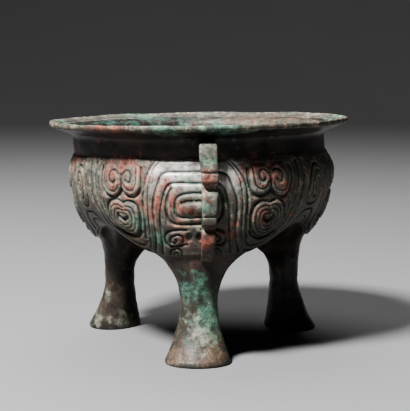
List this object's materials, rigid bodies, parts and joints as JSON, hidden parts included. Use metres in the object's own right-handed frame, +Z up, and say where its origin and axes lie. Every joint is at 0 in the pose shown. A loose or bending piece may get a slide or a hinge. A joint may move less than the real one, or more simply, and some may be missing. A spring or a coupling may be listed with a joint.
{
  "type": "bronze ding vessel",
  "caption": "Hollow lobed tripod vessel of cast bronze with a wide dished rim, notched flanges and raised scrollwork, standing on trumpet-shaped legs; holds food or liquid",
  "frame": {"origin": "on the floor under the middle of the rim", "axes": "+Z up, -Y towards the front leg, +X to the viewer's right"},
  "size_m": [0.18, 0.18, 0.1373],
  "materials": {
    "bronze": "dark patinated bronze with red and green corrosion"
  },
  "bodies": {
    "root": {"ding_vessel": "bronze"}
  },
  "joints": []
}
